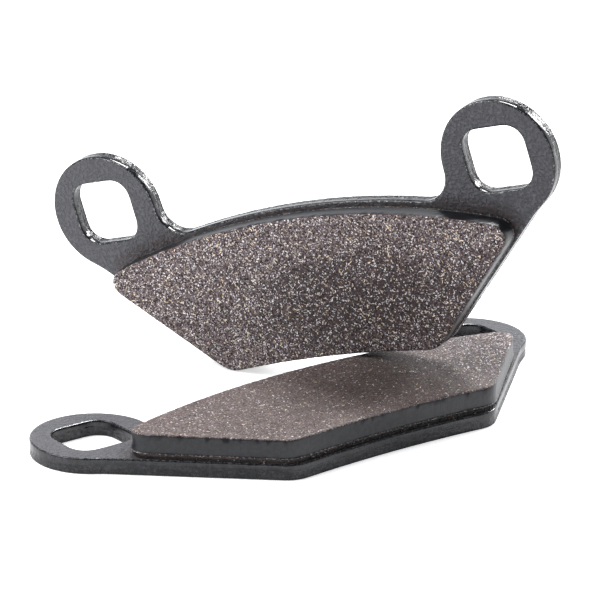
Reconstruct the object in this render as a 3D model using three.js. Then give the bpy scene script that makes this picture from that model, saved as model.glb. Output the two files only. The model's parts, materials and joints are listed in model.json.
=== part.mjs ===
// A matched pair of disc brake pads: one lies on its backing plate, the other leans against it.
// Millimetres, +Z up. The origin is in the middle of the lying pad's back face, +X runs from ear
// to ear, +Y points from the friction block towards the ears, and +Z comes out of the friction face.
import * as THREE from 'three';
import { mergeVertices } from 'three/addons/utils/BufferGeometryUtils.js';

// Backing plate: a stamped steel plate with an ear at each end of its crown.
const PAD_WIDTH = 109;
const PLATE_THICKNESS = 3;
const EAR_RADIUS = 11.4;
const EAR_HEIGHT = 18.2; // ear centres above the pad's middle
const CROWN_HEIGHT = 14.7; // top of the arched edge between the ears, above the pad's middle
const CROWN_RADIUS = 145;
const CROWN_FILLET = 5.1; // hollow corner between the crown and an ear
const FOOT_DEPTH = 15.5; // corners of the lower edge, below the pad's middle
const FOOT_WIDTH = 44.6; // between the lower edge's corners, taken as sharp
const FOOT_ARCH = 1.1; // rise of the lower edge in its middle
const FOOT_CORNER = 5.5;
const EAR_BULGE = 0.4; // how far an ear stands out past the slanted end below it
const NECK_RADIUS = 19; // hollow between a slanted end and its ear

// Guide hole through each ear: square with round corners.
const HOLE_WIDTH = 12.8;
const HOLE_HEIGHT = 12.1;
const HOLE_CORNER = 3.5;
const HOLE_RISE = 0.25; // hole centre above the ear's centre

// Underlayer and friction block, moulded together and bonded to the plate.
const UNDERLAYER_THICKNESS = 0.7;
const BLOCK_THICKNESS = 3.75;
const GLUE_LINE = 0.1; // cured adhesive film, left free between two bonded faces
const CROWN_MARGIN = 0.95; // plate left bare along the crown
const END_MARGIN = 0.1; // plate left bare at the foot of each slanted end
const END_LEAN = THREE.MathUtils.degToRad(0.9); // block's end turned in from the plate's
const FOOT_MARGIN = 0.65; // plate left bare along the lower edge
const BLOCK_CROWN_CORNER = 2.7;
const BLOCK_FOOT_CORNER = 5;
const UNDERLAYER_INSET = 0.15; // underlayer's rim inside the block's

// The second pad stands on one foot corner and leans on the first pad with the other.
const LEAN_X = 13.8; // middle of its back face
const LEAN_Y = 23.25;
const LEAN_TURN = THREE.MathUtils.degToRad(-64.5); // about the vertical
const LEAN_TIP = THREE.MathUtils.degToRad(4.65); // friction face turned down
const REST_GAP = 0.3; // between the two pads where they meet

const ARC_TOLERANCE = 0.01; // largest gap between an arc and its chords
const RIM_STEP = 0.25; // between the points that find where the pads meet
const STEEPEST_ROLL = THREE.MathUtils.degToRad(45);
const ROLL_HALVINGS = 30;

const QUARTER = Math.PI / 2;
const along = (angle) => new THREE.Vector2(Math.cos(angle), Math.sin(angle));
const bearing = (from, to) => Math.atan2(to.y - from.y, to.x - from.x);

// Where a line from a point along a direction leaves (side 1) or enters (side -1) a circle.
function lineOnCircle(point, direction, centre, radius, side) {
  const toPoint = point.clone().sub(centre);
  const half = toPoint.dot(direction);
  const root = Math.sqrt(half * half - toPoint.lengthSq() + radius * radius);
  return point.clone().addScaledVector(direction, side * root - half);
}

// Where two circles cross, on the left of the way from the first centre to the second.
function circleOnCircle(first, firstRadius, second, secondRadius) {
  const way = second.clone().sub(first);
  const apart = way.length();
  way.divideScalar(apart);
  const ahead = (apart * apart + firstRadius * firstRadius - secondRadius * secondRadius) / (2 * apart);
  const aside = Math.sqrt(firstRadius * firstRadius - ahead * ahead);
  const left = new THREE.Vector2(-way.y, way.x);
  return first.clone().addScaledVector(way, ahead).addScaledVector(left, aside);
}

// Points of an arc between two angles, counterclockwise where turn is 1, clockwise where it is -1.
function arc(centre, radius, from, to, turn) {
  const full = 2 * Math.PI;
  let sweep = THREE.MathUtils.euclideanModulo(to - from, full);
  if (turn < 0) {
    sweep -= full;
  }
  const step = 2 * Math.acos(1 - ARC_TOLERANCE / radius);
  const count = Math.max(2, Math.ceil(Math.abs(sweep) / step));
  return Array.from({ length: count + 1 }, (_, i) => {
    const point = along(from + (sweep * i) / count);
    return point.multiplyScalar(radius).add(centre);
  });
}

// A closed outline from its right half, which runs counterclockwise from the lower to the upper middle.
function mirrored(half) {
  const left = half.slice(1, -1).reverse().map((p) => new THREE.Vector2(-p.x, p.y));
  return [...half, ...left];
}

// Joins arcs end to end, leaving out a point that the next arc starts with.
function joined(...arcs) {
  const points = [];
  for (const point of arcs.flat()) {
    if (points.length === 0 || point.distanceTo(points.at(-1)) > ARC_TOLERANCE / 10) {
      points.push(point);
    }
  }
  return points;
}

const earCentre = new THREE.Vector2(PAD_WIDTH / 2 - EAR_RADIUS, EAR_HEIGHT);
const footCorner = new THREE.Vector2(FOOT_WIDTH / 2, -FOOT_DEPTH);
const footRadius = (footCorner.x ** 2 + FOOT_ARCH ** 2) / (2 * FOOT_ARCH);
const footCentre = new THREE.Vector2(0, footCorner.y + FOOT_ARCH - footRadius);
const crownCentre = new THREE.Vector2(0, CROWN_HEIGHT - CROWN_RADIUS);
const earReach = earCentre.distanceTo(footCorner);
const endAngle = bearing(footCorner, earCentre) - Math.asin((EAR_RADIUS - EAR_BULGE) / earReach);

// The plate: arched lower edge, slanted ends that hollow into the ears, and an arched crown.
function plateOutline() {
  const end = along(endAngle);
  const inward = along(endAngle + QUARTER);
  const cornerLine = footCorner.clone().addScaledVector(inward, FOOT_CORNER);
  const corner = lineOnCircle(cornerLine, end, footCentre, footRadius + FOOT_CORNER, 1);
  const neckLine = footCorner.clone().addScaledVector(inward, -NECK_RADIUS);
  const neck = lineOnCircle(neckLine, end, earCentre, EAR_RADIUS + NECK_RADIUS, -1);
  const crownReach = CROWN_RADIUS + CROWN_FILLET;
  const hollow = circleOnCircle(crownCentre, crownReach, earCentre, EAR_RADIUS + CROWN_FILLET);
  return mirrored(joined(
    arc(footCentre, footRadius, QUARTER, bearing(footCentre, corner), -1),
    arc(corner, FOOT_CORNER, bearing(corner, footCentre), endAngle - QUARTER, 1),
    arc(neck, NECK_RADIUS, endAngle + QUARTER, bearing(neck, earCentre), -1),
    arc(earCentre, EAR_RADIUS, bearing(earCentre, neck), bearing(earCentre, hollow), 1),
    arc(hollow, CROWN_FILLET, bearing(hollow, earCentre), bearing(hollow, crownCentre), -1),
    arc(crownCentre, CROWN_RADIUS, bearing(crownCentre, hollow), QUARTER, 1),
  ));
}

// The block, or a layer inset from it: inside the plate's lower edge and crown, its ends turned in
// a little from the plate's.
function blockOutline(inset) {
  const endDirection = endAngle + END_LEAN;
  const end = along(endDirection);
  const inward = along(endDirection + QUARTER);
  const footPoint = footCorner.clone().addScaledVector(along(endAngle + QUARTER), END_MARGIN);
  const lowCentre = footCentre.clone().setY(footCentre.y + FOOT_MARGIN + inset);
  const highCentre = crownCentre.clone().setY(crownCentre.y - CROWN_MARGIN);
  const highRadius = CROWN_RADIUS - inset;
  const lowLine = footPoint.clone().addScaledVector(inward, inset + BLOCK_FOOT_CORNER);
  const low = lineOnCircle(lowLine, end, lowCentre, footRadius + BLOCK_FOOT_CORNER, 1);
  const highLine = footPoint.clone().addScaledVector(inward, inset + BLOCK_CROWN_CORNER);
  const high = lineOnCircle(highLine, end, highCentre, highRadius - BLOCK_CROWN_CORNER, 1);
  return mirrored(joined(
    arc(lowCentre, footRadius, QUARTER, bearing(lowCentre, low), -1),
    arc(low, BLOCK_FOOT_CORNER, bearing(low, lowCentre), endDirection - QUARTER, 1),
    arc(high, BLOCK_CROWN_CORNER, endDirection - QUARTER, bearing(highCentre, high), 1),
    arc(highCentre, highRadius, bearing(highCentre, high), QUARTER, 1),
  ));
}

// A guide hole, on the right ear at side 1 and on the left ear at side -1.
function guideHole(side) {
  const reachX = HOLE_WIDTH / 2 - HOLE_CORNER;
  const reachY = HOLE_HEIGHT / 2 - HOLE_CORNER;
  const corners = [[1, 1], [-1, 1], [-1, -1], [1, -1]];
  const points = corners.map(([x, y], quarter) => {
    const middle = new THREE.Vector2(side * earCentre.x, earCentre.y + HOLE_RISE);
    const centre = middle.add(new THREE.Vector2(x * reachX, y * reachY));
    return arc(centre, HOLE_CORNER, quarter * QUARTER, (quarter + 1) * QUARTER, 1);
  });
  return new THREE.Path(joined(...points));
}

// A flat solid on an outline, from one height above the pad's back face up by its thickness.
function slab(outline, holes, bottom, thickness) {
  const shape = new THREE.Shape(outline);
  shape.holes = holes;
  const solid = new THREE.ExtrudeGeometry(shape, { depth: thickness, bevelEnabled: false });
  solid.translate(0, 0, bottom);
  solid.deleteAttribute('normal');
  solid.deleteAttribute('uv');
  const welded = mergeVertices(solid, ARC_TOLERANCE / 10);
  welded.computeVertexNormals();
  return welded;
}

const UNDERLAYER_BOTTOM = PLATE_THICKNESS + GLUE_LINE;
const BLOCK_BOTTOM = UNDERLAYER_BOTTOM + UNDERLAYER_THICKNESS + GLUE_LINE;
const PAD_THICKNESS = BLOCK_BOTTOM + BLOCK_THICKNESS;

const paintedSteel = { color: 0x4a4b4e, roughness: 0.5, metalness: 0.6 };
const curedResin = { color: 0x3a302d, roughness: 0.9, metalness: 0 };
const frictionMix = { color: 0x5b5453, roughness: 0.85, metalness: 0.1 };

// One whole pad, lying on its back face.
function brakePad(which) {
  const pad = new THREE.Group();
  const plate = slab(plateOutline(), [guideHole(1), guideHole(-1)], 0, PLATE_THICKNESS);
  const underlayer = slab(blockOutline(UNDERLAYER_INSET), [], UNDERLAYER_BOTTOM, UNDERLAYER_THICKNESS);
  const block = slab(blockOutline(0), [], BLOCK_BOTTOM, BLOCK_THICKNESS);
  const pieces = [
    ['backing_plate', plate, paintedSteel],
    ['underlayer', underlayer, curedResin],
    ['friction_block', block, frictionMix],
  ];
  for (const [name, geometry, finish] of pieces) {
    const piece = new THREE.Mesh(geometry, new THREE.MeshStandardMaterial(finish));
    piece.name = `${which}_${name}`;
    pad.add(piece);
  }
  return pad;
}

// Whether a point lies inside a closed outline.
function isInside(point, outline) {
  let inside = false;
  outline.forEach((a, i) => {
    const b = outline.at(i - 1);
    const crosses = a.y > point.y !== b.y > point.y;
    if (crosses && point.x < a.x + ((b.x - a.x) * (point.y - a.y)) / (b.y - a.y)) {
      inside = !inside;
    }
  });
  return inside;
}

// An outline's corners, with more points along each side, at one height above the pad's back face.
function rim(outline, height) {
  return outline.flatMap((start, i) => {
    const end = outline[(i + 1) % outline.length];
    const count = Math.ceil(start.distanceTo(end) / RIM_STEP);
    return Array.from({ length: count }, (_, step) => {
      const point = start.clone().lerp(end, step / count);
      return new THREE.Vector3(point.x, point.y, height);
    });
  });
}

// Stands a pad up: rolled in its own plane, tipped off the vertical, then turned about it.
function standUp(pad, roll) {
  const tipped = new THREE.Group();
  const turned = new THREE.Group();
  pad.rotation.z = roll;
  tipped.rotation.x = QUARTER + LEAN_TIP;
  turned.rotation.z = LEAN_TURN;
  turned.position.set(LEAN_X, LEAN_Y, 0);
  tipped.add(pad);
  turned.add(tipped);
  turned.updateMatrixWorld();
  return turned;
}

// Lifts and rolls a pad until one foot corner stands on the ground and the other just clears the
// face of the lying pad.
function leanOn(pad) {
  const face = blockOutline(0);
  const rims = [
    ...rim(plateOutline(), 0),
    ...rim(plateOutline(), PLATE_THICKNESS),
    ...rim(face, BLOCK_BOTTOM),
    ...rim(face, PAD_THICKNESS),
  ];
  const heights = (roll) => {
    standUp(pad, roll);
    const places = rims.map((point) => point.clone().applyMatrix4(pad.matrixWorld));
    const lowest = Math.min(...places.map((place) => place.z));
    const over = places.filter((place) => isInside(place, face)).map((place) => place.z);
    return { lowest, clearance: Math.min(...over) - lowest - PAD_THICKNESS };
  };
  let tooFlat = 0;
  let steepEnough = STEEPEST_ROLL;
  for (let i = 0; i < ROLL_HALVINGS; i += 1) {
    const roll = (tooFlat + steepEnough) / 2;
    if (heights(roll).clearance < REST_GAP) {
      tooFlat = roll;
    } else {
      steepEnough = roll;
    }
  }
  const { lowest } = heights(steepEnough);
  const stood = standUp(pad, steepEnough);
  stood.position.z = -lowest;
  return stood;
}

const pair = new THREE.Group();
pair.add(brakePad('lower'));
pair.add(leanOn(brakePad('upper')));

export default pair;
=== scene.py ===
import json
import math

import bmesh
import bpy
import numpy as np
from mathutils import Matrix, Vector, geometry, noise


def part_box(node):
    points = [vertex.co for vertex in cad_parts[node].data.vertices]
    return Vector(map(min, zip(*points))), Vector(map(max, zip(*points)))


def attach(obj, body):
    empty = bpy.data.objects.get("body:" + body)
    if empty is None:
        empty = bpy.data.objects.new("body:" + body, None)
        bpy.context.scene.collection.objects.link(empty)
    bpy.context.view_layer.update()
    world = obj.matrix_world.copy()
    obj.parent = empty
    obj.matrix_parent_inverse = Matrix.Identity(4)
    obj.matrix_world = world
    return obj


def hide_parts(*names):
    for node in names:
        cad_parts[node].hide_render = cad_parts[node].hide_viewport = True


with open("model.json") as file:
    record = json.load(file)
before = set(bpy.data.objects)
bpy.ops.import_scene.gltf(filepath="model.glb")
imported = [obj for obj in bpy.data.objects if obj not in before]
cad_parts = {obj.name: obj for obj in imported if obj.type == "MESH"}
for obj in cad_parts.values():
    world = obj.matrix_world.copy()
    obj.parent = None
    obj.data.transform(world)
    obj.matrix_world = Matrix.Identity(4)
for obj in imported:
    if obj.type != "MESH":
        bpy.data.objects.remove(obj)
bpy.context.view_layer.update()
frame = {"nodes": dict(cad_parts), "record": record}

MM = 0.001

# ---- The two pads in their places ----
# Both pads are the same part, one lying at the frame's origin and one leaning on it. Each is built in its own
# axes, in millimetres, and carried to its place. grain_shift moves one pad's grain off the other's, in
# millimetres. The last value is painted shade, a dark and dull film over the friction face, from 0 to 1,
# which only the lying pad has.
mounts = {mount["name"]: mount for mount in frame["record"]["mounts"]}


def leaning_place():
    """The leaning pad's own axes, from its back face and its friction face."""
    back = mounts["upper_back_face"]
    face = mounts["upper_friction_face"]
    out = -Vector(back["axis"])
    step = Vector(face["pos_m"]) - Vector(back["pos_m"])
    towards_left_ear = (step - out * step.dot(out)).normalized()
    across = -towards_left_ear
    place = Matrix((across, out.cross(across), out)).transposed().to_4x4()
    place.translation = Vector(back["pos_m"])
    return place


pads = {
    "lower": {"name": "lower", "body": "lying_pad", "place": Matrix.Identity(4),
              "grain_shift": 0.0, "film": 0.75},
    "upper": {"name": "upper", "body": "leaning_pad", "place": leaning_place(),
              "grain_shift": 260.0, "film": 0.0},
}

# ---- Backing plates ----
# Each pad is carried by a plate stamped from 3 mm steel. The punch rolls one edge over, burnishes the upper
# part of the rim and tears the rest, which stays rough. The plate is then sprayed with satin charcoal paint.
WELD = 0.003
OUTLINE_STEP = 0.3
ROUNDINGS = 8
CAP_GRID = 1.4
CAP_ROW = 0.87
CAP_CLEARANCE = 0.45


def own_outlines(node, place):
    """The closed edges of a CAD node's lower face in its pad's own plane, the outer one first."""
    mesh = bmesh.new()
    mesh.from_mesh(frame["nodes"][node].data)
    mesh.transform(Matrix.Scale(1 / MM, 4) @ place.inverted())
    bmesh.ops.remove_doubles(mesh, verts=mesh.verts, dist=WELD)
    mesh.normal_update()
    beside = {}
    for edge in mesh.edges:
        below = [face.normal.z < -0.5 for face in edge.link_faces]
        if len(below) == 2 and below[0] != below[1]:
            first, second = edge.verts
            beside.setdefault(first, []).append(second)
            beside.setdefault(second, []).append(first)
    loops = []
    while beside:
        corner = next(iter(beside))
        loop = []
        while corner in beside:
            loop.append(corner.co.xy[:])
            onward = [other for other in beside.pop(corner) if other in beside]
            corner = onward[0] if onward else None
        loops.append(np.array(loop))
    low = min(vertex.co.z for vertex in mesh.verts)
    high = max(vertex.co.z for vertex in mesh.verts)
    mesh.free()
    loops.sort(key=lambda loop: -np.ptp(loop[:, 0]))
    return loops, low, high


def evenly(loop, clockwise):
    """A closed outline with its points one step apart and its chords rounded out, and its outward sides."""
    x, y = loop.T
    area = np.sum(x * np.roll(y, -1) - y * np.roll(x, -1))
    if (area < 0) != clockwise:
        loop = loop[::-1]
    closed = np.vstack([loop, loop[:1]])
    along = np.concatenate([[0], np.cumsum(np.hypot(*np.diff(closed, axis=0).T))])
    marks = np.linspace(0, along[-1], round(along[-1] / OUTLINE_STEP), endpoint=False)
    points = np.column_stack([np.interp(marks, along, closed[:, axis]) for axis in (0, 1)])
    for _ in range(ROUNDINGS):
        points = (np.roll(points, 1, 0) + 2 * points + np.roll(points, -1, 0)) / 4
    way = np.roll(points, -1, 0) - np.roll(points, 1, 0)
    way /= np.hypot(*way.T)[:, None]
    return points, np.column_stack([way[:, 1], -way[:, 0]])


def rough(points, height, size, seed):
    """Fractal noise from -1 to 1 at each point of an outline, at one height."""
    return np.array([noise.fractal(Vector((x / size, y / size, height / size + seed)), 0.9, 2.2, 4)
                     for x, y in points])


def encloses(outline, points):
    """Which of the points lie inside a closed outline."""
    inside = np.zeros(len(points), bool)
    for (ax, ay), (bx, by) in zip(outline, np.roll(outline, -1, 0)):
        if ay != by:
            spans = (ay > points[:, 1]) != (by > points[:, 1])
            inside ^= spans & (points[:, 0] < ax + (points[:, 1] - ay) * (bx - ax) / (by - ay))
    return inside


def cap(outlines, grid):
    """Triangles that fill the first outline around the others, and the extra points inside it."""
    corners = np.vstack(outlines)
    edges = []
    start = 0
    for outline in outlines:
        count = len(outline)
        edges += [(start + i, start + (i + 1) % count) for i in range(count)]
        start += count
    low, high = outlines[0].min(0), outlines[0].max(0)
    spots = [(x + (row % 2) * grid / 2, y) for row, y in enumerate(np.arange(low[1], high[1], grid * CAP_ROW))
             for x in np.arange(low[0], high[0], grid)]
    clear = grid * CAP_CLEARANCE
    spots = np.array([spot for spot in spots if np.hypot(*(corners - spot).T).min() > clear])
    kept = encloses(outlines[0], spots)
    for hole in outlines[1:]:
        kept &= ~encloses(hole, spots)
    inner = spots[kept]
    everything = np.vstack([corners, inner])
    points, _, triangles, originals, _, _ = geometry.delaunay_2d_cdt(
        [Vector(point) for point in everything], edges, [], 0, 1e-6)
    triangles = np.array([[originals[corner][0] for corner in triangle] for triangle in triangles])
    middles = everything[triangles].mean(1)
    kept = encloses(outlines[0], middles)
    for hole in outlines[1:]:
        kept &= ~encloses(hole, middles)
    return inner, triangles[kept].tolist()


def layered_mesh(name, outlines, profile, pad, grid=CAP_GRID):
    """A closed plate-like solid: each outline gets the profile's rows of inset and height, from its lower
    face round its rim to its upper face, and both faces are filled. The mesh keeps each point's own place in
    the pad and how far round the profile it lies."""
    rows = []
    for points, outward, seed in outlines:
        rows.append([(points - outward * inset[:, None], height) for inset, height in profile(points, seed)])
    corners, faces, round_profile, starts = [], [], [], []
    for loop_rows in rows:
        count = len(loop_rows[0][0])
        starts.append(len(corners))
        for row, (points, height) in enumerate(loop_rows):
            corners += [(x, y, z) for (x, y), z in zip(points, np.broadcast_to(height, count))]
            round_profile += [row / (len(loop_rows) - 1)] * count
        for row in range(len(loop_rows) - 1):
            a = starts[-1] + row * count
            for i in range(count):
                j = (i + 1) % count
                faces.append((a + i, a + j, a + count + j, a + count + i))
    for side, row in ((-1, 0), (1, -1)):
        rims = [loop_rows[row][0] for loop_rows in rows]
        ids = []
        for start, loop_rows in zip(starts, rows):
            count = len(loop_rows[0][0])
            first = start + (row % len(loop_rows)) * count
            ids += range(first, first + count)
        inner, triangles = cap(rims, grid)
        height = float(np.mean(rows[0][row][1]))
        ids += range(len(corners), len(corners) + len(inner))
        corners += [(x, y, height) for x, y in inner]
        round_profile += [0.0 if side < 0 else 1.0] * len(inner)
        for triangle in triangles:
            a, b, c = (ids[corner] for corner in triangle)
            (ax, ay, _), (bx, by, _), (cx, cy, _) = corners[a], corners[b], corners[c]
            up = (bx - ax) * (cy - ay) - (by - ay) * (cx - ax) > 0
            faces.append((a, b, c) if up == (side > 0) else (a, c, b))
    mesh = bpy.data.meshes.new(name)
    mesh.from_pydata(corners, [], faces)
    mesh.polygons.foreach_set("use_smooth", [True] * len(faces))
    own = np.array(corners, np.float32)
    own[:, 0] += pad["grain_shift"]
    mesh.attributes.new("own_place", "FLOAT_VECTOR", "POINT").data.foreach_set("vector", own.ravel())
    mesh.attributes.new("round_profile", "FLOAT", "POINT").data.foreach_set("value", round_profile)
    mesh.transform(pad["place"] @ Matrix.Scale(MM, 4))
    mesh.update()
    piece = bpy.data.objects.new(name, mesh)
    bpy.context.scene.collection.objects.link(piece)
    return piece


ROLLED_EDGE = [(0.42, 0.0), (0.26, 0.012), (0.13, 0.05), (0.05, 0.12), (0.01, 0.24)]
BURR_EDGE = [(0.26, 0.0), (0.14, 0.03), (0.07, 0.1)]
BURR_WOBBLE = 0.03
TEAR_HEIGHT = 1.75
TEAR_WAVE = 0.35
TEAR_DEPTH = 0.11
TEAR_GRAIN = 0.12
TORN_ROWS = (0.15, 0.35, 0.55, 0.75, 0.92)
BURNISHED_ROWS = (0.06, 0.35, 0.7, 1.0)
BURNISHED_INSET = 0.008
BURNISHED_WOBBLE = 0.004


def stamped_profile(thickness):
    """The rim's rows from the lower face up: a small burr edge, the torn part, the burnished part and the
    edge that the punch rolled over."""
    def rows(points, seed):
        line = TEAR_HEIGHT + TEAR_WAVE * rough(points, 0.0, 7.0, seed)
        out = []
        for inset, depth in BURR_EDGE:
            out.append((inset + BURR_WOBBLE * rough(points, depth, 0.8, seed), np.full(len(points), depth)))
        for share in TORN_ROWS:
            height = BURR_EDGE[-1][1] + share * (line - BURR_EDGE[-1][1])
            torn = TEAR_DEPTH + TEAR_GRAIN * rough(points, share * 2.0, 0.7, seed + 3)
            out.append((np.maximum(torn, 0.0), height))
        top = thickness - ROLLED_EDGE[-1][1]
        for share in BURNISHED_ROWS:
            height = line + share * (top - line)
            out.append((BURNISHED_INSET + BURNISHED_WOBBLE * rough(points, share, 2.5, seed + 7), height))
        for inset, depth in reversed(ROLLED_EDGE[:-1]):
            out.append((np.full(len(points), inset), np.full(len(points), thickness - depth)))
        return out
    return rows


def outlined(node, pad):
    """A node's outlines, ready for layered_mesh, with its lowest and highest place in its pad."""
    loops, low, high = own_outlines(node, pad["place"])
    ready = []
    for number, loop in enumerate(loops):
        points, outward = evenly(loop, clockwise=number > 0)
        ready.append((points, outward, 10.0 * number + pad["grain_shift"]))
    return ready, low, high


def add(tree, kind, inputs=(), **settings):
    """A new node. An input that is a socket is linked, and any other is set."""
    new = tree.nodes.new(kind)
    for name, value in settings.items():
        setattr(new, name, value)
    for name, value in dict(inputs).items():
        if isinstance(value, bpy.types.NodeSocket):
            tree.links.new(value, new.inputs[name])
        else:
            new.inputs[name].default_value = value
    return new


def maths(tree, operation, first, second=0.0, third=0.0):
    return add(tree, "ShaderNodeMath", {0: first, 1: second, 2: third}, operation=operation).outputs[0]


def rise(tree, value, low, high):
    """0 below low, 1 above high, and smooth between."""
    inputs = {"Value": value, "From Min": low, "From Max": high}
    return add(tree, "ShaderNodeMapRange", inputs, interpolation_type="SMOOTHSTEP").outputs["Result"]


def fall(tree, value, low, high):
    """1 below low, 0 above high, and smooth between."""
    return maths(tree, "SUBTRACT", 1.0, rise(tree, value, low, high))


def tint(tree, share, first, second):
    """One colour over another by a share, each a socket or three linear values."""
    first, second = (value if isinstance(value, bpy.types.NodeSocket) else (*value, 1.0)
                     for value in (first, second))
    inputs = {0: share, 6: first, 7: second}
    return add(tree, "ShaderNodeMix", inputs, data_type="RGBA").outputs[2]


def tint_value(tree, share, first, second):
    """One number over another by a share."""
    return add(tree, "ShaderNodeMix", {0: share, 2: first, 3: second}, data_type="FLOAT").outputs[0]


def clouds(tree, place, size, detail=4.0, roughness=0.55):
    """Noise from 0 to 1, with lumps of about that many millimetres."""
    inputs = {"Vector": place, "Scale": 1 / size, "Detail": detail, "Roughness": roughness}
    return add(tree, "ShaderNodeTexNoise", inputs).outputs["Fac"]


def stretched(tree, place, by):
    inputs = {"Vector": place, "Scale": by}
    return add(tree, "ShaderNodeMapping", inputs).outputs["Vector"]


def own_place(tree):
    return add(tree, "ShaderNodeAttribute", attribute_name="own_place").outputs["Vector"]


def shared_effect(name, inputs, outputs):
    """An empty shader node group with named inputs and outputs, and its two end nodes."""
    tree = bpy.data.node_groups.new(name, "ShaderNodeTree")
    for title, kind in inputs.items():
        tree.interface.new_socket(title, in_out="INPUT", socket_type=kind)
    for title, kind in outputs.items():
        tree.interface.new_socket(title, in_out="OUTPUT", socket_type=kind)
    return tree, add(tree, "NodeGroupInput"), add(tree, "NodeGroupOutput")


def orange_peel_effect():
    """Sprayed paint's fine dimples as a height, with the slight unevenness of its tone."""
    vector, value = "NodeSocketVector", "NodeSocketFloat"
    tree, given, result = shared_effect(
        "orange peel", {"Place": vector, "Dimple Size": value}, {"Height": value, "Tone": value})
    per_mm = maths(tree, "DIVIDE", 1.0, given.outputs["Dimple Size"])
    inputs = {"Vector": given.outputs["Place"], "Scale": per_mm, "Detail": 3.0, "Roughness": 0.6}
    dimples = rise(tree, add(tree, "ShaderNodeTexNoise", inputs).outputs["Fac"], 0.38, 0.60)
    broad = clouds(tree, given.outputs["Place"], 9.0)
    tree.links.new(dimples, result.inputs["Height"])
    tree.links.new(maths(tree, "MULTIPLY_ADD", dimples, 0.7, maths(tree, "MULTIPLY", broad, 0.3)),
                   result.inputs["Tone"])
    return tree


orange_peel = orange_peel_effect()


def finish_of(name):
    """A new material, its tree and its Principled shader."""
    material = bpy.data.materials.new(name)
    material.use_nodes = True
    return material, material.node_tree, material.node_tree.nodes["Principled BSDF"]


def wired(tree, shader, **inputs):
    for name, value in inputs.items():
        socket = shader.inputs[name.replace("_", " ")]
        if isinstance(value, bpy.types.NodeSocket):
            tree.links.new(value, socket)
        else:
            socket.default_value = value


FACE_DARK = (0.050, 0.050, 0.058)
FACE_PALE = (0.074, 0.074, 0.085)
# The rims are painted far darker than the face: painted shade for the shadowed floor that they reflect.
SHADED_RIM_DARK = (0.003, 0.003, 0.004)
SHADED_RIM_PALE = (0.023, 0.024, 0.030)
NICK_GREY = (0.120, 0.120, 0.130)
BARE_STEEL = (0.46, 0.47, 0.49)
BOND_RED = (0.085, 0.046, 0.040)
PLATE_DIMPLES = 0.62
# Where each look fades in or out on the way round the profile, from 0 at the lower face to 1 at the upper.
RIM_STARTS = (0.01, 0.09)
RIM_ENDS = (0.93, 0.995)
TORN_ENDS = (0.44, 0.56)
CORNER_STARTS = (0.82, 0.88)
CORNER_ENDS = (0.93, 0.98)
CORNER_WEAR = 0.7
# How far from the block the crumbs on the plate's face thin out.
CRUMB_FADE = (0.8, 3.2)


def plate_paint():
    material, tree, shader = finish_of("satin_charcoal_plate")
    place = own_place(tree)
    peel = add(tree, "ShaderNodeGroup", node_tree=orange_peel)
    tree.links.new(place, peel.inputs["Place"])
    peel.inputs["Dimple Size"].default_value = PLATE_DIMPLES
    round_profile = add(tree, "ShaderNodeAttribute", attribute_name="round_profile").outputs["Fac"]
    on_rim = maths(tree, "MULTIPLY", rise(tree, round_profile, *RIM_STARTS),
                   fall(tree, round_profile, *RIM_ENDS))
    lines = clouds(tree, stretched(tree, place, (0.16, 0.16, 1.0)), 0.55, detail=2.0)
    scoring = clouds(tree, stretched(tree, place, (1.0, 1.0, 0.25)), 0.70, detail=3.0)
    torn = clouds(tree, stretched(tree, place, (1.0, 1.0, 0.7)), 0.62, detail=3.0, roughness=0.6)
    is_torn = fall(tree, round_profile, *TORN_ENDS)
    rim_height = maths(tree, "MULTIPLY_ADD", tint_value(tree, is_torn, scoring, torn), 0.6,
                       maths(tree, "MULTIPLY", lines, 0.4))
    scuffs = rise(tree, clouds(tree, place, 0.5, detail=6.0, roughness=0.75), 0.50, 0.60)
    corner = maths(tree, "MULTIPLY", rise(tree, round_profile, *CORNER_STARTS),
                   fall(tree, round_profile, *CORNER_ENDS))
    worn = maths(tree, "MULTIPLY", scuffs, maths(tree, "MULTIPLY", corner, CORNER_WEAR))
    face = tint(tree, rise(tree, peel.outputs["Tone"], 0.0, 1.0), FACE_DARK, FACE_PALE)
    # Painted shade: the rim paint is far darker than the face paint.
    shaded_rim = tint(tree, rise(tree, rim_height, 0.42, 0.60), SHADED_RIM_DARK, SHADED_RIM_PALE)
    paint = tint(tree, on_rim, face, shaded_rim)
    to_block = add(tree, "ShaderNodeAttribute", attribute_name="to_block").outputs["Fac"]
    crumbs = rise(tree, clouds(tree, place, 0.45, detail=4.0, roughness=0.7), 0.50, 0.56)
    crumbs = maths(tree, "MULTIPLY", crumbs, fall(tree, to_block, *CRUMB_FADE))
    crumbs = maths(tree, "MULTIPLY", crumbs, maths(tree, "SUBTRACT", 1.0, on_rim))
    paint = tint(tree, maths(tree, "MULTIPLY", crumbs, 0.8), paint, BOND_RED)
    nicks = rise(tree, clouds(tree, place, 0.7, detail=5.0, roughness=0.75), 0.58, 0.66)
    nicks = maths(tree, "MULTIPLY", nicks, is_torn)
    nicks = maths(tree, "MULTIPLY", nicks, on_rim)
    paint = tint(tree, maths(tree, "MULTIPLY", nicks, 0.45), paint, NICK_GREY)
    colour = tint(tree, worn, paint, BARE_STEEL)
    surface = tint_value(tree, on_rim, maths(tree, "MULTIPLY_ADD", peel.outputs["Height"], 0.55, crumbs),
                         maths(tree, "MULTIPLY", rim_height,
                               maths(tree, "MULTIPLY_ADD", is_torn, 0.60, 0.35)))
    bump = add(tree, "ShaderNodeBump", {"Height": surface, "Strength": 1.0, "Distance": 0.28 * MM})
    roughness = tint_value(tree, on_rim, 0.40, maths(tree, "MULTIPLY_ADD", is_torn, 0.04, 0.10))
    wired(tree, shader, Base_Color=colour, Roughness=roughness, Normal=bump.outputs["Normal"], Metallic=worn)
    return material


NO_BLOCK_NEAR = 99.0


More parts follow.
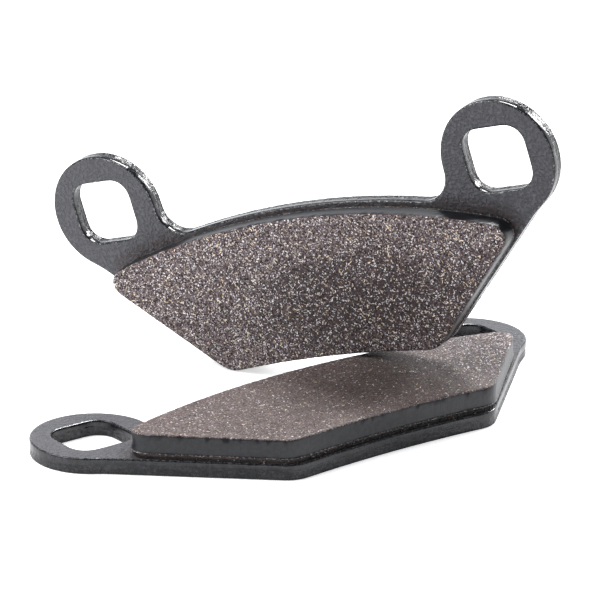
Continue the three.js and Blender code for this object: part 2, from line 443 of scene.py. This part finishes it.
def distances_to_block(plate, pad):
    """How far each point of the plate's upper face lies from the block's foot, in millimetres."""
    foot = evenly(own_outlines(f"{pad['name']}_friction_block", pad["place"])[0][0], clockwise=False)[0]
    home = pad["place"].inverted()
    out = []
    for vertex in plate.data.vertices:
        x, y, z = (home @ vertex.co) / MM
        nearest = float(np.hypot(*(foot - (x, y)).T).min())
        out.append(nearest if z > plate_thickness / 2 else NO_BLOCK_NEAR)
    return out


plate_finish = plate_paint()
plate_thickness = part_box("lower_backing_plate")[1].z / MM
for which, pad in pads.items():
    node = f"{which}_backing_plate"
    ready, low, high = outlined(node, pad)
    plate = layered_mesh(f"{which}_stamped_plate", ready, stamped_profile(high - low), pad)
    to_block = plate.data.attributes.new("to_block", "FLOAT", "POINT")
    to_block.data.foreach_set("value", distances_to_block(plate, pad))
    plate.data.materials.append(plate_finish)
    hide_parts(node)
    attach(plate, pad["body"])

# ---- Underlayer ----
# A thin band of resin and fibre bonds the block to the plate. It is pressed out and cured at the joint, so
# its edge is crumbly, dull and dark. A reddish brown shows along the top of the lying pad's band.
BAND_REACH = 0.13
BAND_ROWS = 8
BAND_PROUD = 0.02
BAND_HOLLOW = 0.10
CRUMBLE = 0.13


def crumbly_profile(low, high):
    def rows(points, seed):
        out = []
        for share in np.linspace(0.0, 1.0, BAND_ROWS):
            height = low + share * (high - low)
            ragged = rough(points, height * 1.3, 0.55, seed + 11)
            inset = -BAND_PROUD - CRUMBLE * ragged + BAND_HOLLOW * math.sin(math.pi * share)
            out.append((inset, np.full(len(points), height)))
        return out
    return rows


RESIN_DARK = (0.010, 0.009, 0.009)
RESIN_RED = (0.082, 0.048, 0.038)
# Painted highlight: the pale colour of some crumbs, as if they caught the light.
CRUMB_HIGHLIGHT_PALE = (0.150, 0.140, 0.138)
RED_SLANT = -0.006


def cured_resin():
    material, tree, shader = finish_of("cured_resin_underlayer")
    place = own_place(tree)
    grain = clouds(tree, place, 0.35, detail=6.0, roughness=0.7)
    streaks = clouds(tree, stretched(tree, place, (0.35, 0.35, 1.6)), 0.5, detail=4.0)
    apart = add(tree, "ShaderNodeSeparateXYZ", {0: place})
    along, height = apart.outputs["X"], apart.outputs["Z"]
    red = rise(tree, maths(tree, "MULTIPLY_ADD", along, RED_SLANT, streaks), 0.52, 0.64)
    upper = rise(tree, maths(tree, "MULTIPLY_ADD", grain, 0.3, height), bond_high - 0.22, bond_high - 0.05)
    colour = tint(tree, maths(tree, "MULTIPLY", red, upper), RESIN_DARK, RESIN_RED)
    bump = add(tree, "ShaderNodeBump", {"Height": grain, "Strength": 0.9, "Distance": 0.12 * MM})
    roughness = tint_value(tree, grain, 0.55, 0.95)
    wired(tree, shader, Base_Color=colour, Roughness=roughness, Normal=bump.outputs["Normal"])
    return material


bond_low, bond_high = (corner.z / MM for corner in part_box("lower_underlayer"))
resin_finish = cured_resin()
for which, pad in pads.items():
    node = f"{which}_underlayer"
    ready, low, high = outlined(node, pad)
    profile = crumbly_profile(low - BAND_REACH, high + BAND_REACH)
    band = layered_mesh(f"{which}_bond_band", ready, profile, pad)
    band.data.materials.append(resin_finish)
    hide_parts(node)
    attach(band, pad["body"])

# ---- Friction blocks ----
# The block is moulded from resin, mineral powder, steel and brass, with a thin lip round its foot where the
# mould closed. It is sprayed with the plate, and then its face is ground flat, which bares the mix.
LIP_REACH = 0.15
LIP_HEIGHT = 0.24
LIP_ROWS = [(0.0, 0.6), (0.35, 1.0), (0.75, 0.9), (1.0, 0.25)]
LIP_WOBBLE = 0.025
FOOT_INSET = 0.5
SIDE_ROWS = (0.06, 0.3, 0.6, 0.95)
SIDE_WOBBLE = 0.012
ARRIS = [(0.02, 0.30), (0.06, 0.16), (0.14, 0.06), (0.30, 0.0)]
CHIP_REACH = 0.20
CHIP_DROP = 0.03


def moulded_profile(low, high):
    """The block's rows from its foot up: the mould's lip, the side and the ground arris."""
    def rows(points, seed):
        out = [(np.full(len(points), FOOT_INSET), np.full(len(points), low))]
        for share, reach in LIP_ROWS:
            wave = LIP_WOBBLE * rough(points, share, 1.6, seed + 5)
            out.append((-LIP_REACH * reach + wave, np.full(len(points), low + share * LIP_HEIGHT)))
        foot = low + LIP_HEIGHT
        for share in SIDE_ROWS:
            height = foot + share * (high - ARRIS[0][1] - foot)
            out.append((SIDE_WOBBLE * rough(points, height, 2.5, seed + 9), np.full(len(points), height)))
        for inset, depth in ARRIS:
            chips = np.maximum(rough(points, depth, 0.6, seed + 13), 0.0)
            out.append((inset + CHIP_REACH * chips, high - depth - CHIP_DROP * chips * (depth > 0)))
        return out
    return rows


MIX_DARK = (0.030, 0.021, 0.022)
MIX_MID = (0.165, 0.122, 0.124)
MIX_GREY = (0.440, 0.372, 0.378)
MIX_SMEAR = (0.300, 0.205, 0.130)
FLECK_SILVER = (0.90, 0.87, 0.89)
FLECK_TAN = (0.92, 0.72, 0.48)
PIT = (0.010, 0.008, 0.009)
SIDE_DARK = (0.004, 0.004, 0.006)
SIDE_PALE = (0.009, 0.010, 0.014)
# Painted highlight: pale patches along the moulded lip, for the bright line it catches.
LIP_HIGHLIGHT_PALE = (0.30, 0.27, 0.26)
# Painted shade: the colour of the dark, dull film over the lying pad's friction face.
SHADE_FILM_TINT = (0.118, 0.090, 0.077)
# The painted shade film thins out to nothing towards +X, where the high lamp lights the face, and it hides
# this share of the flecks under it.
SHADE_FILM_ENDS = 32.0
SHADE_FILM_FADE = 14.0
SHADE_FILM_HIDES = 0.6
# Painted shade darkens the friction face round a spot off its middle, in millimetres.
SHADE_MIDDLE_AT = (12.0, -4.0)
SHADE_MIDDLE_SQUEEZE = 0.45
SHADE_MIDDLE_WANDER = 16.0
SHADE_MIDDLE_FADE = (3.0, 17.0)
FLECKS = 0.42
FINE_FLECKS = 0.21
SIDE_DIMPLES = 0.8
# How far below the face the paint fades out, and how far above the foot the painted highlight on the lip
# reaches.
PAINT_ENDS = (0.24, 0.18)
LIP_HIGHLIGHT_ENDS = (0.20, 0.32)


def fleck_cells(tree, place, size):
    """Three random values per cell of about that many millimetres, and the distance from its middle."""
    inputs = {"Vector": place, "Scale": 1 / size, "Randomness": 1.0}
    cells = add(tree, "ShaderNodeTexVoronoi", inputs)
    parts = add(tree, "ShaderNodeSeparateColor", {0: cells.outputs["Color"]})
    return parts.outputs[0], parts.outputs[1], parts.outputs[2], cells.outputs["Distance"]


def painted_shade_middle(tree, place):
    """Painted shade on the friction face, round a spot off its middle: 1 there and 0 towards the ends."""
    wandering = maths(tree, "SUBTRACT", clouds(tree, place, 12.0, detail=3.0), 0.5)
    apart = add(tree, "ShaderNodeSeparateXYZ", {0: place})
    half_shift = pads["upper"]["grain_shift"] / 2
    along = maths(tree, "WRAP", apart.outputs["X"], half_shift, -half_shift)
    along = maths(tree, "MULTIPLY", maths(tree, "SUBTRACT", along, SHADE_MIDDLE_AT[0]), SHADE_MIDDLE_SQUEEZE)
    across = maths(tree, "SUBTRACT", apart.outputs["Y"], SHADE_MIDDLE_AT[1])
    away = maths(tree, "MULTIPLY_ADD", along, along, maths(tree, "MULTIPLY", across, across))
    away = maths(tree, "MULTIPLY_ADD", wandering, SHADE_MIDDLE_WANDER, maths(tree, "SQRT", away))
    return fall(tree, away, *SHADE_MIDDLE_FADE)


def friction_mix():
    material, tree, shader = finish_of("ground_friction_mix")
    place = own_place(tree)
    height = add(tree, "ShaderNodeSeparateXYZ", {0: place}).outputs["Z"]
    warp = add(tree, "ShaderNodeTexNoise", {"Vector": place, "Scale": 3.0, "Detail": 3.0}).outputs["Color"]
    warp = add(tree, "ShaderNodeVectorMath", {0: warp, 1: (0.5, 0.5, 0.5)}, operation="SUBTRACT").outputs[0]
    bent = add(tree, "ShaderNodeVectorMath", {0: warp, 1: (0.5, 0.5, 0.0), 2: place},
               operation="MULTIPLY_ADD").outputs[0]
    kind, shade, _, middle = fleck_cells(tree, bent, FLECKS)
    fine_kind, fine_shade, fine_other, fine_middle = fleck_cells(tree, bent, FINE_FLECKS)
    mottling = clouds(tree, place, 0.45, detail=4.0, roughness=0.75)
    broad = clouds(tree, place, 7.0, detail=3.0)
    base = tint(tree, rise(tree, mottling, 0.34, 0.66), MIX_DARK, MIX_MID)
    base = tint(tree, maths(tree, "MULTIPLY", rise(tree, fine_shade, 0.45, 1.0), 0.55), base, MIX_GREY)
    base = tint(tree, maths(tree, "MULTIPLY", rise(tree, broad, 0.56, 0.75), 0.22), base, MIX_SMEAR)
    # Painted shade: the mix darkens round a spot off the face's middle.
    dull = painted_shade_middle(tree, place)
    base = tint(tree, maths(tree, "MULTIPLY", dull, 0.6), base, MIX_DARK)
    pits = fall(tree, fine_other, 0.22, 0.24)
    base = tint(tree, maths(tree, "MULTIPLY", pits, 0.9), base, PIT)
    core = fall(tree, middle, 0.30, 0.48)
    fine_core = fall(tree, fine_middle, 0.35, 0.55)
    # Painted shade: a dark, dull film over the lying pad's face, given per point, dims the flecks and the
    # mix.
    film = add(tree, "ShaderNodeAttribute", attribute_name="film").outputs["Fac"]
    unfilmed = maths(tree, "MULTIPLY_ADD", film, -SHADE_FILM_HIDES, 1.0)
    core = maths(tree, "MULTIPLY", core, unfilmed)
    fine_core = maths(tree, "MULTIPLY", fine_core, unfilmed)
    silver = maths(tree, "MULTIPLY", rise(tree, kind, 0.955, 0.96), core)
    tan = maths(tree, "MULTIPLY", maths(tree, "MULTIPLY", rise(tree, shade, 0.95, 0.96), core), 0.75)
    small = maths(tree, "MULTIPLY", rise(tree, fine_kind, 0.87, 0.88), fine_core)
    small = maths(tree, "MULTIPLY", small, 0.95)
    colour = tint(tree, small, base, FLECK_SILVER)
    colour = tint(tree, silver, colour, FLECK_SILVER)
    colour = tint(tree, tan, colour, FLECK_TAN)
    metal = maths(tree, "MAXIMUM", maths(tree, "MAXIMUM", silver, tan), small)
    # The painted shade film lies in patches and tints the colour towards its own dark brown.
    patchy = rise(tree, clouds(tree, place, 0.6, detail=3.0, roughness=0.7), 0.40, 0.60)
    # The same painted shade darkens the flecks there too.
    colour = tint(tree, maths(tree, "MULTIPLY", dull, 0.25), colour, MIX_DARK)
    colour = tint(tree, maths(tree, "MULTIPLY", film, patchy), colour, SHADE_FILM_TINT)
    ragged = clouds(tree, place, 0.4, detail=5.0, roughness=0.7)
    edge = maths(tree, "MULTIPLY_ADD", maths(tree, "SUBTRACT", ragged, 0.5), 0.45, height)
    bare = rise(tree, edge, block_top - PAINT_ENDS[0], block_top - PAINT_ENDS[1])
    peel = add(tree, "ShaderNodeGroup", node_tree=orange_peel)
    tree.links.new(place, peel.inputs["Place"])
    peel.inputs["Dimple Size"].default_value = SIDE_DIMPLES
    streaks = clouds(tree, stretched(tree, place, (1.0, 1.0, 0.06)), 0.32, detail=3.0)
    side_tone = maths(tree, "MULTIPLY_ADD", streaks, 0.6, maths(tree, "MULTIPLY", peel.outputs["Tone"], 0.4))
    side = tint(tree, rise(tree, side_tone, 0.46, 0.55), SIDE_DARK, SIDE_PALE)
    # Painted highlight: pale patches along the lip at the block's foot.
    scuffs = rise(tree, clouds(tree, place, 0.4, detail=6.0, roughness=0.75), 0.50, 0.60)
    lip = fall(tree, height, block_foot + LIP_HIGHLIGHT_ENDS[0], block_foot + LIP_HIGHLIGHT_ENDS[1])
    worn = maths(tree, "MULTIPLY", maths(tree, "MULTIPLY", scuffs, lip), 0.85)
    side = tint(tree, worn, side, LIP_HIGHLIGHT_PALE)
    colour = tint(tree, bare, side, colour)
    face_height = maths(tree, "MULTIPLY_ADD", mottling, 0.5, maths(tree, "MULTIPLY", metal, 0.3))
    face_height = maths(tree, "SUBTRACT", face_height, maths(tree, "MULTIPLY", pits, 1.2))
    side_height = maths(tree, "MULTIPLY", peel.outputs["Height"], 0.25)
    side_height = maths(tree, "MULTIPLY_ADD", streaks, 0.9, side_height)
    surface = tint_value(tree, bare, side_height, face_height)
    bump = add(tree, "ShaderNodeBump", {"Height": surface, "Strength": 0.6, "Distance": 0.07 * MM})
    face_roughness = tint_value(tree, metal, 0.44, 0.40)
    roughness = tint_value(tree, bare, 0.34, face_roughness)
    wired(tree, shader, Base_Color=colour, Roughness=roughness, Normal=bump.outputs["Normal"],
          Specular_IOR_Level=tint_value(tree, bare, 0.5, 0.15),
          Metallic=maths(tree, "MULTIPLY", metal, maths(tree, "MULTIPLY", bare, 0.3)))
    return material


block_foot, block_top = (corner.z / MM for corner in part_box("lower_friction_block"))
friction_finish = friction_mix()
for which, pad in pads.items():
    node = f"{which}_friction_block"
    ready, low, high = outlined(node, pad)
    block = layered_mesh(f"{which}_moulded_block", ready, moulded_profile(low, high), pad)
    # Painted shade: the film is strongest on the lying pad and fades out towards +X, where the lamp lights
    # it.
    along = np.array([vertex.co.x / MM for vertex in block.data.vertices])
    film = pad["film"] * np.clip((SHADE_FILM_ENDS - along) / SHADE_FILM_FADE, 0.0, 1.0)
    block.data.attributes.new("film", "FLOAT", "POINT").data.foreach_set("value", film)
    block.data.materials.append(friction_finish)
    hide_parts(node)
    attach(block, pad["body"])

# ---- Metal slivers in the friction faces ----
# Chopped brass and steel wool runs through the mix. Where grinding cuts it, it shows as short slivers that
# stand a hair proud of the face and lie every way.
SLIVER_SUNK = 0.02
SLIVER_MARGIN = 0.5
BRASS = {"per_mm2": 0.30, "long": (0.30, 1.10), "wide": (0.11, 0.26), "thick": 0.034, "seed": 11}
STEEL = {"per_mm2": 0.80, "long": (0.18, 0.70), "wide": (0.12, 0.26), "thick": 0.034, "seed": 29}


def in_tree(tree, title, kind, value=None):
    socket = tree.interface.new_socket(title, in_out="INPUT", socket_type=kind)
    if value is not None:
        socket.default_value = value


def between(tree, low, high, seed):
    inputs = {2: low, 3: high, "Seed": seed}
    return add(tree, "FunctionNodeRandomValue", inputs, data_type="FLOAT").outputs[1]


def scatter_tree(name, shape):
    """Copies of a small solid strewn over a mesh, each with its own length, width, turn and random value."""
    tree = bpy.data.node_groups.new(name, "GeometryNodeTree")
    in_tree(tree, "Ground", "NodeSocketGeometry")
    for title in ("Per Square Metre", "Shortest", "Longest", "Narrowest", "Widest", "Thick"):
        in_tree(tree, title, "NodeSocketFloat", 0.001)
    in_tree(tree, "Seed", "NodeSocketInt", 1)
    in_tree(tree, "Finish", "NodeSocketMaterial")
    tree.interface.new_socket("Strewn", in_out="OUTPUT", socket_type="NodeSocketGeometry")
    given = add(tree, "NodeGroupInput").outputs
    inputs = {"Mesh": given["Ground"], "Density": given["Per Square Metre"], "Seed": given["Seed"]}
    spots = add(tree, "GeometryNodeDistributePointsOnFaces", inputs, distribute_method="RANDOM")
    size = add(tree, "ShaderNodeCombineXYZ", {
        0: between(tree, given["Shortest"], given["Longest"], 1),
        1: between(tree, given["Narrowest"], given["Widest"], 2), 2: given["Thick"]})
    inputs = {"Points": spots.outputs["Points"], "Instance": shape(tree),
              "Rotation": spots.outputs["Rotation"], "Scale": size.outputs[0]}
    strewn = add(tree, "GeometryNodeInstanceOnPoints", inputs)
    turn = add(tree, "ShaderNodeCombineXYZ", {2: between(tree, 0.0, math.tau, 3)})
    inputs = {"Instances": strewn.outputs[0], "Rotation": turn.outputs[0]}
    strewn = add(tree, "GeometryNodeRotateInstances", inputs)
    inputs = {"Geometry": strewn.outputs[0], "Name": "own_shade", "Value": between(tree, 0.0, 1.0, 4)}
    strewn = add(tree, "GeometryNodeStoreNamedAttribute", inputs, data_type="FLOAT", domain="INSTANCE")
    strewn = add(tree, "GeometryNodeRealizeInstances", {"Geometry": strewn.outputs[0]})
    inputs = {"Geometry": strewn.outputs[0], "Material": given["Finish"]}
    strewn = add(tree, "GeometryNodeSetMaterial", inputs)
    add(tree, "NodeGroupOutput", {0: strewn.outputs[0]})
    return tree


def amounts(sizes, finish, pad, share=1.0):
    """What the scatter tree is given, in metres, from sizes in millimetres."""
    return {"Per Square Metre": sizes["per_mm2"] * share / MM**2, "Shortest": sizes["long"][0] * MM,
            "Longest": sizes["long"][1] * MM, "Narrowest": sizes["wide"][0] * MM,
            "Widest": sizes["wide"][1] * MM, "Thick": sizes["thick"] * MM,
            "Seed": sizes["seed"] + round(pad["grain_shift"]), "Finish": finish}


def strew(tree, name, ground, place, values):
    """The tree's result on a flat mesh in a pad's own axes, as a plain mesh in the pad's place."""
    holder = bpy.data.objects.new(name, ground)
    bpy.context.scene.collection.objects.link(holder)
    modifier = holder.modifiers.new("strew", "NODES")
    modifier.node_group = tree
    sockets = {item.name: item.identifier for item in tree.interface.items_tree if item.in_out == "INPUT"}
    for title, value in values.items():
        modifier[sockets[title]] = value
    evaluated = holder.evaluated_get(bpy.context.evaluated_depsgraph_get())
    mesh = bpy.data.meshes.new_from_object(evaluated)
    holder.modifiers.clear()
    mesh.name = name
    mesh.materials.clear()
    mesh.materials.append(values["Finish"])
    mesh.polygons.foreach_set("material_index", [0] * len(mesh.polygons))
    mesh.transform(place)
    holder.data = mesh
    return holder


def flat_patch(name, outline, height):
    """A flat face inside an outline, in metres."""
    mesh = bpy.data.meshes.new(name)
    mesh.from_pydata([(x * MM, y * MM, height * MM) for x, y in outline], [], [range(len(outline))])
    return mesh


def lozenge(tree):
    """A thin six-sided sliver with sloped edges and a flat back, one metre long."""
    inputs = {"Vertices": 6, "Radius Top": 0.36, "Radius Bottom": 0.5, "Depth": 1.0}
    return add(tree, "GeometryNodeMeshCone", inputs, fill_type="NGON").outputs["Mesh"]


def metal_of(name, dull, bright):
    material, tree, shader = finish_of(name)
    shade = add(tree, "ShaderNodeAttribute", attribute_name="own_shade").outputs["Fac"]
    place = add(tree, "ShaderNodeTexCoord").outputs["Object"]
    inputs = {"Vector": place, "Scale": 6000.0, "Detail": 2.0}
    grain = add(tree, "ShaderNodeTexNoise", inputs).outputs["Fac"]
    share = maths(tree, "MULTIPLY", shade, tint_value(tree, grain, 0.5, 1.4))
    colour = tint(tree, rise(tree, share, 0.1, 0.8), dull, bright)
    wired(tree, shader, Base_Color=colour, Roughness=tint_value(tree, grain, 0.25, 0.45), Metallic=0.2)
    return material


sliver_tree = scatter_tree("slivers on a ground face", lozenge)
slivers = {
    "brass": (BRASS, metal_of("brass_sliver", (0.50, 0.37, 0.23), (0.98, 0.82, 0.55))),
    "steel": (STEEL, metal_of("steel_sliver", (0.40, 0.37, 0.37), (0.98, 0.96, 0.98))),
}
for which, pad in pads.items():
    outline, outward, _ = outlined(f"{which}_friction_block", pad)[0][0]
    for metal, (sizes, finish) in slivers.items():
        face = flat_patch("ground_face", outline - outward * SLIVER_MARGIN, block_top - SLIVER_SUNK)
        # Under the painted shade film fewer slivers are strewn.
        values = amounts(sizes, finish, pad, share=1.0 - pad["film"])
        strewn = strew(sliver_tree, f"{which}_{metal}_slivers", face, pad["place"], values)
        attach(strewn, pad["body"])

# ---- Crumbs of the bond ----
# Pressing and curing squeezes resin out along the bond. It breaks off in crumbs that stay stuck in the joint.
CRUMB = {"per_mm2": 3.6, "long": (0.15, 0.60), "wide": (0.14, 0.38), "thick": 0.34, "seed": 5}
CRUMB_PROUD = 0.03
CRUMBS_FROM = -0.05
CRUMBS_TO = 0.02


def wall_strip(name, outline, low, high):
    """A closed upright strip along an outline, in metres."""
    count = len(outline)
    mesh = bpy.data.meshes.new(name)
    corners = [(x * MM, y * MM, z * MM) for z in (low, high) for x, y in outline]
    quads = [(i, (i + 1) % count, count + (i + 1) % count, count + i) for i in range(count)]
    mesh.from_pydata(corners, [], quads)
    return mesh


def crumb(tree):
    inputs = {"Radius": 0.5, "Subdivisions": 1}
    return add(tree, "GeometryNodeMeshIcoSphere", inputs).outputs["Mesh"]


def crumb_resin():
    material, tree, shader = finish_of("cured_resin_crumbs")
    shade = add(tree, "ShaderNodeAttribute", attribute_name="own_shade").outputs["Fac"]
    place = add(tree, "ShaderNodeTexCoord").outputs["Object"]
    inputs = {"Vector": place, "Scale": 5000.0, "Detail": 4.0}
    grain = add(tree, "ShaderNodeTexNoise", inputs).outputs["Fac"]
    colour = tint(tree, rise(tree, shade, 0.70, 0.95), RESIN_DARK, RESIN_RED)
    # Painted highlight: the crumbs with the lowest own_shade are pale, as if catching the light.
    colour = tint(tree, fall(tree, shade, 0.15, 0.30), colour, CRUMB_HIGHLIGHT_PALE)
    bump = add(tree, "ShaderNodeBump", {"Height": grain, "Strength": 0.8, "Distance": 0.05 * MM})
    wired(tree, shader, Base_Color=colour, Roughness=tint_value(tree, grain, 0.3, 0.8),
          Normal=bump.outputs["Normal"])
    return material


crumb_finish = crumb_resin()
crumb_tree = scatter_tree("crumbs along a bond", crumb)
for which, pad in pads.items():
    outline, outward, _ = outlined(f"{which}_underlayer", pad)[0][0]
    edge = outline + outward * CRUMB_PROUD
    wall = wall_strip("bond_wall", edge, bond_low + CRUMBS_FROM, bond_high + CRUMBS_TO)
    values = amounts(CRUMB, crumb_finish, pad)
    strewn = strew(crumb_tree, f"{which}_bond_crumbs", wall, pad["place"], values)
    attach(strewn, pad["body"])

# ---- Studio ----
# A white floor and backdrop, with a small soft lamp near the pads at the left, one high behind them and one
# low at the right. The floor glows to the camera, and in reflections only a little, and more far to +X.
VIEW_AZIMUTH = math.radians(36.66)
VIEW_ELEVATION = math.radians(19.42)
VIEW_DISTANCE = 0.7284
AIM = Vector((0.00355, 0.01861, 0.01878))
SENSOR = 36.0
LENS = 236.7


def direction(azimuth, elevation):
    """A unit vector. Azimuth turns clockwise from +Y, seen from above, and elevation is up from level."""
    return Vector((math.sin(azimuth) * math.cos(elevation), math.cos(azimuth) * math.cos(elevation),
                   math.sin(elevation)))


def camera_looking(azimuth, elevation, distance, aim):
    forward = direction(azimuth, -elevation)
    camera = bpy.data.objects.new("camera", bpy.data.cameras.new("camera"))
    camera.location = aim - forward * distance
    camera.rotation_euler = forward.to_track_quat("-Z", "Y").to_euler()
    camera.data.lens = LENS
    camera.data.sensor_width = SENSOR
    camera.data.clip_start = 0.01
    camera.data.clip_end = 20.0
    bpy.context.scene.collection.objects.link(camera)
    return camera


def softbox(name, azimuth, elevation, distance, width, height, watts):
    """A lamp aimed at the pads from a direction in degrees."""
    way = direction(math.radians(azimuth), math.radians(elevation))
    lamp = bpy.data.objects.new(name, bpy.data.lights.new(name, "AREA"))
    lamp.data.shape = "RECTANGLE"
    lamp.data.size = width
    lamp.data.size_y = height
    lamp.data.energy = watts
    lamp.visible_camera = False
    lamp.location = AIM + way * distance
    lamp.rotation_euler = way.to_track_quat("Z", "Y").to_euler()
    bpy.context.scene.collection.objects.link(lamp)


FLOOR_GLOW = 0.62
MIRRORED_GLOW = 0.12
SIDE_GLOW = 1.6
SIDE_GLOW_FADE = (0.25, 0.9)
FLOOR_HALF = 3.0
FLOOR_SINK = 0.00005


def floor_finish():
    material = bpy.data.materials.new("white_sweep")
    material.use_nodes = True
    tree = material.node_tree
    tree.nodes.clear()
    seen = add(tree, "ShaderNodeLightPath")
    paper = add(tree, "ShaderNodeBsdfDiffuse", {"Color": (0.86, 0.86, 0.87, 1.0)})
    glow = add(tree, "ShaderNodeEmission", {"Color": (1.0, 1.0, 1.0, 1.0)})
    spot = add(tree, "ShaderNodeTexCoord").outputs["Object"]
    across = add(tree, "ShaderNodeSeparateXYZ", {0: spot}).outputs["X"]
    side_glow = maths(tree, "MULTIPLY_ADD", rise(tree, across, *SIDE_GLOW_FADE), SIDE_GLOW, MIRRORED_GLOW)
    mirrored = maths(tree, "MULTIPLY", seen.outputs["Is Glossy Ray"], side_glow)
    shown = maths(tree, "MULTIPLY_ADD", seen.outputs["Is Camera Ray"], FLOOR_GLOW, mirrored)
    tree.links.new(shown, glow.inputs["Strength"])
    both = add(tree, "ShaderNodeAddShader", {0: paper.outputs[0], 1: glow.outputs[0]})
    add(tree, "ShaderNodeOutputMaterial", {"Surface": both.outputs[0]})
    return material


mesh = bpy.data.meshes.new("floor")
mesh.from_pydata([(-FLOOR_HALF, -FLOOR_HALF, 0), (FLOOR_HALF, -FLOOR_HALF, 0),
                  (FLOOR_HALF, FLOOR_HALF, 0), (-FLOOR_HALF, FLOOR_HALF, 0)], [], [(0, 1, 2, 3)])
mesh.materials.append(floor_finish())
floor = bpy.data.objects.new("floor", mesh)
bpy.context.scene.collection.objects.link(floor)
floor.location.z = -FLOOR_SINK


CEILING_FADE = (0.24, 0.46)
CEILING_GLOW = 0.28
WALL_GLOW = 0.25
BACKDROP_FADE = (-0.4, 0.5)
BACKDROP_GLOW = 1.25
WALL_LIGHT = 0.30
BACKDROP_LIGHT = 0.25
SEEN_WHITE = 1.1


def studio_world():
    world = bpy.data.worlds.new("studio")
    world.use_nodes = True
    tree = world.node_tree
    tree.nodes.clear()
    seen = add(tree, "ShaderNodeLightPath")
    way = add(tree, "ShaderNodeTexCoord").outputs["Generated"]
    behind = (math.sin(VIEW_AZIMUTH), math.cos(VIEW_AZIMUTH), 0.0)
    along = add(tree, "ShaderNodeVectorMath", {0: way, 1: behind}, operation="DOT_PRODUCT").outputs["Value"]
    up = add(tree, "ShaderNodeSeparateXYZ", {0: way}).outputs["Z"]
    ceiling = rise(tree, up, *CEILING_FADE)
    backdrop = rise(tree, along, *BACKDROP_FADE)
    walls = maths(tree, "MULTIPLY_ADD", backdrop, BACKDROP_GLOW, WALL_GLOW)
    around = tint_value(tree, ceiling, walls, CEILING_GLOW)
    lit = maths(tree, "MULTIPLY_ADD", backdrop, BACKDROP_LIGHT, WALL_LIGHT)
    mirrored = tint_value(tree, seen.outputs["Is Glossy Ray"], lit, around)
    strength = tint_value(tree, seen.outputs["Is Camera Ray"], mirrored, SEEN_WHITE)
    light = add(tree, "ShaderNodeBackground", {"Color": (0.95, 0.97, 1.0, 1.0), "Strength": strength})
    add(tree, "ShaderNodeOutputWorld", {"Surface": light.outputs[0]})
    return world


scene = bpy.context.scene
scene.world = studio_world()
scene.camera = camera_looking(VIEW_AZIMUTH, VIEW_ELEVATION, VIEW_DISTANCE, AIM)
softbox("left_softbox", azimuth=-74, elevation=40, distance=0.21, width=0.16, height=0.16, watts=0.41)
softbox("high_softbox", azimuth=50, elevation=54, distance=0.80, width=0.28, height=0.28, watts=6.5)
softbox("right_softbox", azimuth=83, elevation=26, distance=0.80, width=0.20, height=0.30, watts=4.4)
scene.view_settings.view_transform = "Standard"
